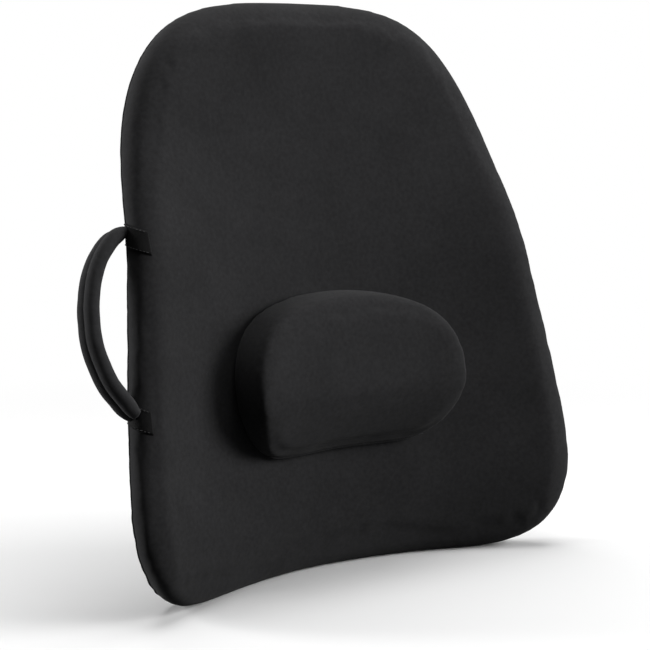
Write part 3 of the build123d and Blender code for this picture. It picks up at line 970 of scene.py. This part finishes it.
def draped_tab(name, tree, height):
    """A webbing tab that follows the rim at every point, from the front crease into the seam."""
    columns, rows = 46, 15
    upper, lower, uv = [], [], []
    for i, turn in enumerate(np.linspace(*TAB_TURNS, columns)):
        for j, v in enumerate(np.linspace(-TAB_WIDTH / 2, TAB_WIDTH / 2, rows)):
            z = height + v + 0.06 * turn
            placed, normal = hugged(tree, [left_rim(z, turn + 0.25 * v)], 0.0)
            edge = min(1.0, 0.45 + 0.55 * min(j, rows - 1 - j), 0.45 + 0.55 * min(i, columns - 1 - i))
            upper.append(placed[0] + normal[0] * TAB_THICK * edge)
            lower.append(placed[0] - normal[0] * 0.2)
            uv.append((turn * 0.45, v))
    verts = np.array(upper + lower)
    total, faces = len(upper), []
    for i in range(columns - 1):
        for j in range(rows - 1):
            a, b = i * rows + j, (i + 1) * rows + j
            faces.append((a, a + 1, b + 1, b))
            faces.append((total + a, total + b, total + b + 1, total + a + 1))
    border = [j for j in range(rows)] + [i * rows + rows - 1 for i in range(1, columns)]
    border += [(columns - 1) * rows + j for j in range(rows - 2, -1, -1)]
    border += [i * rows for i in range(columns - 2, 0, -1)]
    for a, b in zip(border, border[1:] + border[:1]):
        faces.append((a, b, total + b, total + a))
    grid = np.array(upper).reshape(columns, rows, 3)
    return finish_normals(mesh_object(name, verts, faces, uv * 2)), grid


def handle_tabs(tree):
    """Flat webbing tabs across the side wall, with edge stitching, that hold the handle's ends."""
    for label, anchor in (("lower", HANDLE_LOW), ("upper", HANDLE_HIGH)):
        tab, grid = draped_tab("handle_tab_" + label + "_webbing", tree, anchor[2])
        dress(tab, "backrest", "webbing", "webbing", "handle_tab_" + label)
        rows = [grid[3:-3, 1], grid[3:-3, -2]]
        _, normals = hugged(tree, rows[0], 0.0)
        stitches("handle_tab_" + label + "_stitches", rows, [normals, normals], "backrest")


# ------------------------------------------------------------------ chair strap
BUCKLE_BAR, STRAP_END_X = 40.0, 205.0
BEND = 3.1
WEB_LIFT, WEB_THICK = FACE + 1.1, 1.3
PATCH_WIDTH, PATCH_THICK = 31.0, 1.1


def rear_place(tree, x, z, lift):
    """Place and normal at a lift off the rear face, which is never less than the fabric's surface."""
    hit, normal, _, _ = tree.ray_cast(Vector((x, 400.0, z)) * MM, Vector((0, -1, 0)))
    slope = -2 * float(wing_depth(z)) * x / WING_AT ** 2
    formula = unit((-slope, 1.0, -LEAN))
    depth = float(middle(x, z)) + lift / formula[1]
    if hit:
        depth = max(depth, hit[1] / MM + 0.95 + (lift - WEB_LIFT))
    return np.array((x, depth, z)), formula


def strap_run(tree, start, end, count, lift=WEB_LIFT):
    pairs = [rear_place(tree, x, STRAP_Z, lift) for x in np.linspace(start, end, count)]
    return np.array([p for p, _ in pairs]), np.array([n for _, n in pairs])


def strap_fold(tree, side, reach):
    """Line of webbing that goes round the buckle's bar and lies back on itself for a reach."""
    turn = []
    centre, normal = rear_place(tree, side * BUCKLE_BAR, STRAP_Z, WEB_LIFT + BEND)
    out = unit(np.cross(normal, (0, 0, 1.0)))
    out = out if out[0] * side < 0 else -out
    for angle in np.linspace(-math.pi / 2, math.pi / 2, 14)[1:-1]:
        turn.append(centre + BEND * (math.cos(angle) * out + math.sin(angle) * normal))
    high = []
    for share in np.linspace(0, 1, 36):
        x = side * (BUCKLE_BAR + reach * share)
        drop = min(1.0, share * reach / 16.0)
        lift = WEB_LIFT + 2 * BEND - (2 * BEND - 1.6) * (3 * drop ** 2 - 2 * drop ** 3)
        high.append(rear_place(tree, x, STRAP_Z, lift)[0])
    return np.vstack([turn, high])


def lay_webbing(name, line, body, slot_nodes):
    """Webbing along a line in the plane of the strap, always STRAP_WIDTH tall."""
    line = resample(line, 150)
    direction = np.gradient(line, axis=0)
    tall = unit((0.0, LEAN, 1.0))
    normals = [unit(np.cross(t, tall)) for t in direction]
    band = ribbon(name, line, [tall] * len(line), normals, STRAP_WIDTH, WEB_THICK)
    return dress(band, body, "webbing", "webbing", *slot_nodes)


def chair_strap(tree):
    """Left strap, right strap, free tail and sewn patches, with box stitching."""
    left, _ = strap_run(tree, -STRAP_END_X, -BUCKLE_BAR, 60)
    left = np.vstack([left, strap_fold(tree, -1, 38.0)])
    lay_webbing("strap_left_webbing", left, "backrest", ["strap_left"])
    right, _ = strap_run(tree, BUCKLE_BAR + 3.0, STRAP_END_X, 120)
    band = lay_webbing("strap_right_webbing", right, "backrest", ["strap_right"])
    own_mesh(band)
    lay_webbing("strap_tail_webbing", strap_fold(tree, 1, 72.0), "buckle_plug", ["strap_tail"])
    for side, label in ((-1, "left"), (1, "right")):
        line, normals = strap_run(tree, side * 178.0, side * 207.0, 16, WEB_LIFT + 1.5)
        tall = unit((0.0, LEAN, 1.0))
        patch = ribbon("strap_patch_" + label + "_webbing", line, [tall] * len(line), normals,
                       PATCH_WIDTH, PATCH_THICK)
        dress(patch, "backrest", "webbing", "webbing", "strap_patch_" + label)
        face = line + normals * 0.6
        rows = [face[1:-1] + tall * o for o in (-11.0, 11.0)]
        ups = [normals[1:-1]] * 2
        for start, finish in ((-11.0, 11.0), (11.0, -11.0)):
            share = np.linspace(start, finish, len(face) - 2)
            rows.append(face[1:-1] + np.outer(share, tall))
            ups.append(normals[1:-1])
        stitches("strap_patch_" + label + "_stitches", rows, ups, "backrest")
    fold, normals = strap_run(tree, -62.0, -76.0, 12, WEB_LIFT + 1.6 + 0.7)
    tall = unit((0.0, LEAN, 1.0))
    stitches("strap_left_box_stitches", [fold + tall * o for o in (-9.0, 9.0)], [normals] * 2, "backrest")


# ------------------------------------------------------------------ zip
def zip_tapes():
    """Woven tapes beside the teeth, following the zip's curve."""
    for label, sign in (("upper", 1), ("lower", -1)):
        low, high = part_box("zip_tape_" + label)
        z = (low[2] + high[2]) / 2 / MM
        line, normals = [], []
        for x in np.linspace(-157.5, 157.5, 130):
            angle = math.asin(x / TAPE_RADIUS)
            normal = np.array((math.sin(angle), math.cos(angle), 0.0))
            line.append(np.array((0.0, ZIP_AXIS_DEPTH, z)) + TAPE_RADIUS * normal)
            normals.append(normal)
        up = np.array((0, 0, 1.0))
        tape = ribbon("zip_tape_" + label + "_cloth", np.array(line), [up] * len(line), normals,
                      TAPE_WIDTH, 0.8)
        dress(tape, "backrest", "zip_tape", "zip_tape", "zip_tape_" + label)


CARRIED = {
    "frame_shell": "frame", "zip_teeth_upper": "zip_teeth", "zip_teeth_lower": "zip_teeth",
    "zip_stops": "zip_metal", "zip_slider": "zip_metal", "zip_pull": "zip_metal",
    "buckle_socket": "buckle_plastic", "buckle_plug": "buckle_plastic",
    "prong_upper": "buckle_plastic", "prong_lower": "buckle_plastic",
}


def carried_over():
    """Finishes for the hard parts that come straight from the CAD."""
    for node, material in CARRIED.items():
        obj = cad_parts[node]
        obj.data.materials.clear()
        obj.data.materials.append(MATERIAL[material])


# ------------------------------------------------------------------ studio
KEY_POWER, STRIP_POWER, TOP_POWER, AMBIENT = 68.0, 44.0, 52.0, 0.045
AZIMUTH, ELEVATION, DISTANCE, LENS = -35.6, 7.4, 1.690, 99.3
FLOOR_CELLS, FLOOR_HALF, FLOOR_DROP = 40, 6000.0, 0.6


def aim(obj, target):
    obj.rotation_euler = (Vector(target) - obj.location).to_track_quat("-Z", "Y").to_euler()


def area_light(name, direction, distance, size, power, target=(0.0, 0.0, 0.26)):
    """A soft rectangular light at a distance in a direction from the object."""
    lamp = bpy.data.lights.new(name, "AREA")
    lamp.shape = "RECTANGLE"
    lamp.size, lamp.size_y = size
    lamp.energy = power
    obj = bpy.data.objects.new(name, lamp)
    obj.location = Vector(target) + Vector(direction).normalized() * distance
    bpy.context.scene.collection.objects.link(obj)
    aim(obj, target)
    return obj


def studio():
    """Pale floor, soft key from the right front, a strip behind on the left, and a white surround."""
    row = FLOOR_CELLS + 1
    span = np.linspace(-1, 1, row)
    verts = [(x * FLOOR_HALF, y * FLOOR_HALF, -FLOOR_DROP) for y in span for x in span]
    corners = [j * row + i for j in range(FLOOR_CELLS) for i in range(FLOOR_CELLS)]
    faces = [(k, k + 1, k + row + 1, k + row) for k in corners]
    floor = mesh_object("floor", verts, faces)
    floor.data.materials.append(MATERIAL["floor"])
    key = area_light("key", (0.75, -0.65, 0.30), 2.4, (1.3, 1.3), KEY_POWER)
    strip = area_light("strip", (-0.8, 0.6, 0.1), 1.9, (0.5, 1.4), STRIP_POWER)
    top = area_light("top", (0.1, 0.1, 1.0), 2.2, (2.0, 2.0), TOP_POWER)
    world = bpy.data.worlds.new("surround")
    world.use_nodes = True
    tree = world.node_tree
    background = tree.nodes["Background"]
    rays = tree.nodes.new("ShaderNodeLightPath")
    mix = tree.nodes.new("ShaderNodeMix")
    mix.data_type = "FLOAT"
    mix.inputs["A"].default_value = AMBIENT
    mix.inputs["B"].default_value = 1.0
    tree.links.new(rays.outputs["Is Camera Ray"], mix.inputs["Factor"])
    tree.links.new(mix.outputs[0], background.inputs["Strength"])
    background.inputs["Color"].default_value = (1, 1, 1, 1)
    bpy.context.scene.world = world
    bpy.context.scene.view_settings.view_transform = "Standard"


def camera():
    data = bpy.data.cameras.new("camera")
    data.lens = LENS
    data.sensor_width = 36.0
    data.shift_x, data.shift_y = 0.0104, -0.0575
    data.clip_end = 50.0
    obj = bpy.data.objects.new("camera", data)
    a, e = math.radians(AZIMUTH), math.radians(ELEVATION)
    back = Vector((math.sin(a) * math.cos(e), -math.cos(a) * math.cos(e), math.sin(e)))
    obj.location = Vector((0, 0, 0.265)) + back * DISTANCE
    aim(obj, (0, 0, 0.265))
    bpy.context.scene.collection.objects.link(obj)
    bpy.context.scene.camera = obj


def main():
    front, rear = backrest_cover()
    tree = surface_tree(front, rear)
    foam_cores()
    seam_piping(tree)
    lumbar_pad(tree)
    carry_handle()
    handle_tabs(tree)
    chair_strap(tree)
    zip_tapes()
    carried_over()
    studio()
    camera()


main()
